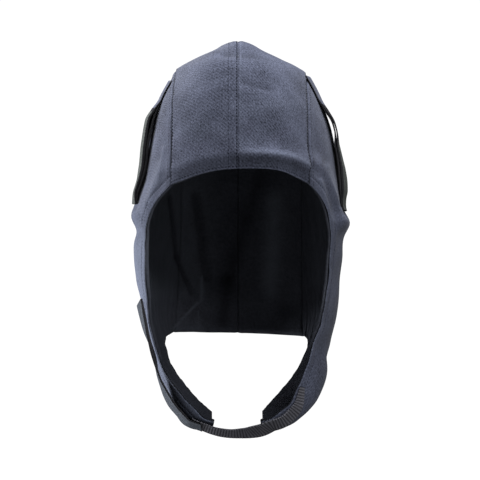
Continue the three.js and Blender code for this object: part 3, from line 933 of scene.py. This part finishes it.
def shell_top(cloth):
    """How far the shell's outer face lies below the form."""
    edges, face, crown = cloth["edges"], cloth["face"], cloth["kind"] == "crown"
    seed = SHELL_SEEDS[cloth["side"]]
    top = -fold_rise(cloth["points"], cloth["normals"], CREASES)
    top -= uneven(cloth, SHELL_LUMPS, seed)
    along = cloth["cloth"][..., 1 if crown else 0]
    for k, name in enumerate(("first", "last") if crown else ("start",)):
        pucker = noise(along, 0 * along, PUCKER_PITCH, seed + PUCKER_SEED + k)
        top += line_at(edges[name], *PUCKER) * pucker
        top += line_at(edges[name], *SEAM_DIP)
        top -= line_at(edges[name], *SEAM_SWELL)
    if not crown:
        return top + line_at(face, *SIDE_GROOVE)
    ridge = RIDGE_LEAST + grown(cloth["points"][..., 0], *RIDGE_GROWS)
    return top + lean_of(cloth) - line_at(face, RIDGE_AT, RIDGE_REACH, ridge)


def shell_wear_and_painted_light(cloth):
    """Above 0 where the twill is lighter: rubbed edges with a painted highlight, and painted highlights on
    ridges, crease tops and the lower left side. Below 0 for painted shade in seams, crease hollows, the
    brow band and the lower right side.
    """
    edges, side, crown = cloth["edges"], cloth["side"], cloth["kind"] == "crown"
    x, h = cloth["points"][..., 0], CROWN_TOP - cloth["points"][..., 2]
    open_edges = ("start", "end") if crown else ("first", "last", "end")
    open_rim = np.minimum.reduce([edges[name] for name in open_edges])
    creases = fold_rise(cloth["points"], cloth["normals"], CREASES)
    # Rubbed free edges with a painted highlight, and painted highlight and shade on the creases
    wear_and_painted_light = line_at(open_rim, *EDGE_WEAR_AND_HIGHLIGHT) + CREASE_PAINTED_LIGHT * creases
    if not crown:
        # Painted light on the lower left side and painted shade on the lower right side
        painted_side_light = grown(h, *LEFT_PAINTED_LIGHT) if side == "left" else -grown(h, *RIGHT_SHADE)
        # Painted shade in the groove of the seam to the crown
        return wear_and_painted_light - line_at(edges["start"], *SEAM_SHADE) + painted_side_light
    # Painted highlight along the forehead ridge, growing towards the right
    wear_and_painted_light += grown(x, *RIDGE_HIGHLIGHT_GROWS) * line_at(cloth["face"], *RIDGE_HIGHLIGHT)
    # Painted shade on the band between the ridge and the forehead edge
    wear_and_painted_light -= grown(cloth["face"], *BROW_SHADE)
    # Painted shade in the grooves of the side seam and the centre seam
    wear_and_painted_light -= line_at(edges["last"], *SEAM_SHADE) + line_at(edges["first"], *CENTRE_SHADE)
    return wear_and_painted_light + (line_at(edges["first"], *CENTRE_LIGHT_LINE) if side == "right" else 0)


def lining_depths(cloth):
    """Depths of the lining's two faces under the form."""
    inner = SHELL + PLY_GAP + LINING + fold_rise(cloth["points"], -cloth["normals"], LINING_FOLDS)
    inner += uneven(cloth, LINING_LUMPS, LINING_SEEDS[cloth["side"]])
    inner -= line_at(cloth["face"], *LINING_GROOVE) + line_at(cloth["seam"], *LINING_SEAM)
    outer = np.full_like(inner, SHELL + PLY_GAP)
    if cloth["kind"] == "crown":
        inner, outer = inner + lean_of(cloth), outer + lean_of(cloth)
    return outer, np.maximum(inner, outer + FLEECE_LEAST)


def lining_painted_light_and_tone(cloth):
    """Above 0 where the fleece is lighter: painted light at the left and on wrinkle ridges, and a lighter
    strip at the right. Below 0 for painted shade on the flaps and in wrinkle hollows, and darker in the rim
    band.
    """
    x, h = cloth["points"][..., 0], CROWN_TOP - cloth["points"][..., 2]
    rim = np.exp(-((cloth["face"] / RIM_SHADED) ** RIM_POWER))
    # Painted light at the left and painted shade on the flaps, with a lighter strip at the right; wrinkles
    # get painted highlight and shade
    painted_light_and_tone = grown(x, *FLEECE_LEFT_PAINTED_LIGHT) + grown(x, *FLEECE_RIGHT) - grown(h, *FLAP_SHADE)
    wrinkles = fold_rise(cloth["points"], -cloth["normals"], LINING_FOLDS)
    return painted_light_and_tone - RIM_SHADE * rim + WRINKLE_PAINTED_LIGHT * wrinkles * (1 - rim)


def sew_shell(kind, side):
    cloth = panel(kind, side, SHELL_LINES[kind])
    top = shell_top(cloth)
    rounded = roll(cloth["rim"], SHELL_ROLL)
    depths = (top + rounded, top + SHELL - rounded)
    wall(cloth, depths, shell_wear_and_painted_light(cloth), TWILL, f"{kind}_{side}")
    stitch_panel(cloth, cloth["points"] - cloth["normals"] * top[..., None])


def sew_lining(kind, side):
    cloth = panel(kind, side, LINING_LINES[kind])
    outer, inner = lining_depths(cloth)
    depths = (outer, inner - roll(cloth["rim"], LINING_ROLL))
    wall(cloth, depths, lining_painted_light_and_tone(cloth), FLEECE, f"lining_{kind}_{side}")


for sew in (sew_shell, sew_lining):
    for side in SIGN:
        for kind in CUT:
            sew(kind, side)


# Straps

# Places along a tab, in degrees of turn
SLIT_AT, SLIT_REACH = {"left": 40.5, "right": 48}, 4  # where its two plies part
BACK_FROM = {"left": 37, "right": 50}  # where its grey back begins
SEWN_TO = 36  # how far twill covers its sewn end
# Half the gap between its plies as a share of its thickness, and what the slit adds to that
GAP_SHARE, SLIT_SHARE = 0.03, 0.12
# Thickness of a single ply's sewn end as a share of the whole, and the turn over which it grows to that
END_SHARE, END_TURN = 0.4, 4
# Section of a tape, as shares of its width and thickness
TAPE_COLUMNS, TAPE_CORNER = 16, 0.03
TAPE_FLAT = 0.42  # ribs fade out from here to the edges
CORNER_TURNS = np.radians([15, 50, 90, 130, 165])


def fan_at(turn, side):
    return np.radians(90 - SIGN[side] * turn)


def tape_section():
    """Closed section of a flat tape with rounded edges."""
    middle = 0.5 - TAPE_CORNER
    flat = [(a, 0.5) for a in np.linspace(-middle, middle, TAPE_COLUMNS)]
    half = flat + [(middle + TAPE_CORNER * math.sin(b), 0.5 * math.cos(b)) for b in CORNER_TURNS]
    return np.array(half + [(-a, -b) for a, b in half])


def plies_of(turn, slit_at):
    """Where each ply lies in a strap's thickness: one that thins at its sewn end, or two with a slit."""
    none, full = np.zeros_like(turn), np.ones_like(turn)
    if slit_at is None:
        return [(none, END_SHARE + grown(turn - turn[0], 0, END_TURN, 1 - END_SHARE))]
    slit = GAP_SHARE + line_at(turn, slit_at, SLIT_REACH, SLIT_SHARE)
    return [(none, 0.5 - slit), (0.5 + slit, full)]


def lay(run, side, stations):
    """A run laid over the cloth: its middle line, and the directions across and through its tape."""
    turn = np.linspace(run["turn"][0], run["turn"][-1], stations + 1)
    columns = RUN_COLUMNS.split()[1:]
    y, width, lift, thick, twist = (curve(run, "turn", column)(turn) for column in columns)
    point, normal = cloth_at(y, fan_at(turn, side))
    lean = np.radians(twist)[:, None]
    middle = point + normal * (lift + thick / 2 + width / 2 * np.sin(lean[:, 0]))[:, None]
    along = np.gradient(middle, axis=0)
    forward = SIGN[side] * unit(np.cross(along, normal)) * np.cos(lean) + normal * np.sin(lean)
    through = unit(np.cross(forward, along)) * SIGN[side]
    return turn, width, thick, middle, forward, through


def tape_faces(first, rows, columns):
    """Faces of a closed tape whose sections are rows of points, with its two ends last."""
    at = first + np.arange(rows * columns).reshape(rows, columns)
    after = np.roll(at, -1, axis=1)
    quads = stack(at[:-1], at[1:], after[1:], after[:-1]).astype(int).reshape(-1, 4)
    return quads.tolist() + [at[0].tolist(), at[-1, ::-1].tolist()]


def strap(name, run, side, kind, materials, node,
          ribs=0, slit_at=None, back_from=0, sewn_to=0):
    """Tape along a run. Its outer face has the third material up to sewn_to, the second from back_from."""
    turn, width, thick, middle, forward, through = lay(run, side, STRAP_STATIONS[kind])
    length = run_lengths(middle, 0)
    share, level = tape_section().T
    reach = share * width[:, None]
    flat = smooth(0.5, TAPE_FLAT, np.abs(share)) * np.sign(level)
    wave = -ribs * (np.cos(2 * math.pi * length / RIB_PITCH) + 1)
    upper = (level == 0.5) & (np.roll(level, -1) == 0.5)
    outer = np.where(turn[1:, None] < sewn_to, 2, np.where(turn[1:, None] > back_from, 1, 0))
    plies = plies_of(turn, slit_at)
    points, faces, kinds = [], [], []
    for k, (low, high) in enumerate(plies):
        height = level * ((high - low) * thick)[:, None] + flat * wave[:, None]
        height = height + ((low + high - 1) / 2 * thick)[:, None]
        ply = middle[:, None] + forward[:, None] * reach[..., None] + through[:, None] * height[..., None]
        points.append(ply.reshape(-1, 3))
        faces += tape_faces(k * reach.size, *reach.shape)
        outermost = high[-1] == 1
        kinds += (outermost * upper * outer).ravel().tolist() + [0, 0]
    coordinates = np.tile(stack(length[:, None], reach).reshape(-1, 2), (len(plies), 1))
    mesh = new_mesh(name, np.concatenate(points), faces, coordinates)
    piece = add_piece(name, mesh, materials, [node])
    mesh.polygons.foreach_set("material_index", np.minimum(kinds, len(materials) - 1).astype(np.int32))


for side in SIGN:
    strap(f"helmet_tab_{side}_tape", TAB_RUNS[side], side, "tab", [PILE, TAPE_BACK, TWILL],
          f"helmet_tab_{side}",
          slit_at=SLIT_AT[side], back_from=BACK_FROM[side], sewn_to=SEWN_TO)
strap("chin_webbing_strap", WEBBING_RUN, "right", "webbing", [WEBBING],
      "chin_webbing", ribs=RIB_SWING)
strap("chin_hook_tab_tape", HOOK_RUN, "right", "hook", [PILE, HOOK_BACK],
      "chin_hook_tab")

stitches = new_mesh("shell_stitches", np.concatenate(stitch_points), stitch_faces)
add_piece("shell_stitches", stitches, [THREAD], [])

# Floor, light and camera, in metres

FLOOR_LEVEL, FLOOR_REACH = -0.9, 6
WORLD_STRENGTH = 1.05
LIT_POINT = (0, 0, -0.15)
# Lights: place, size and watts
LIGHTS = {
    "key": ((-1.4, 0.45, -0.2), 0.8, 210),
    "top": ((0.02, -0.05, 1.35), 0.6, 190),
    "fill": ((0.72, -1.25, 0.98), 0.8, 105),
}
CAMERA_PLACE = (0.00166, -1.7, -0.153)
LENS, SENSOR = 153.7, 36  # in millimetres
WHITE, DARK_GREY = (1, 1, 1, 1), (0.1, 0.1, 0.1, 1)


def add_floor():
    mesh = bpy.data.meshes.new("floor")
    corners = [(x * FLOOR_REACH, y * FLOOR_REACH, 0) for x, y in ((-1, -1), (1, -1), (1, 1), (-1, 1))]
    mesh.from_pydata(corners, [], [(0, 1, 2, 3)])
    material, _, shader = new_material("pale_floor")
    shader.inputs["Base Color"].default_value = DARK_GREY
    shader.inputs["Roughness"].default_value = 0.9
    shader.inputs["Emission Color"].default_value = WHITE
    shader.inputs["Emission Strength"].default_value = 1
    mesh.materials.append(material)
    floor = bpy.data.objects.new("floor", mesh)
    floor.location.z = FLOOR_LEVEL
    bpy.context.scene.collection.objects.link(floor)


def add_world():
    world = bpy.data.worlds.new("studio")
    world.use_nodes = True
    background = world.node_tree.nodes["Background"]
    background.inputs["Color"].default_value = WHITE
    background.inputs["Strength"].default_value = WORLD_STRENGTH
    bpy.context.scene.world = world


def add_light(name, place, size, watts):
    light = bpy.data.lights.new(name, "AREA")
    light.size = size
    light.energy = watts
    lamp = bpy.data.objects.new(name, light)
    away = np.array(place) - np.array(LIT_POINT)
    tilt = math.acos(away[2] / np.linalg.norm(away))
    heading = math.atan2(away[1], away[0]) + math.pi / 2
    lamp.location = place
    lamp.rotation_euler = (tilt, 0, heading)
    bpy.context.scene.collection.objects.link(lamp)


def add_camera():
    lens = bpy.data.cameras.new("camera")
    lens.sensor_width = SENSOR
    lens.lens = LENS
    camera = bpy.data.objects.new("camera", lens)
    camera.location = CAMERA_PLACE
    camera.rotation_euler = (math.pi / 2, 0, 0)
    bpy.context.scene.collection.objects.link(camera)
    bpy.context.scene.camera = camera


add_floor()
add_world()
for name, settings in LIGHTS.items():
    add_light(name, *settings)
add_camera()
bpy.context.scene.view_settings.view_transform = "Standard"
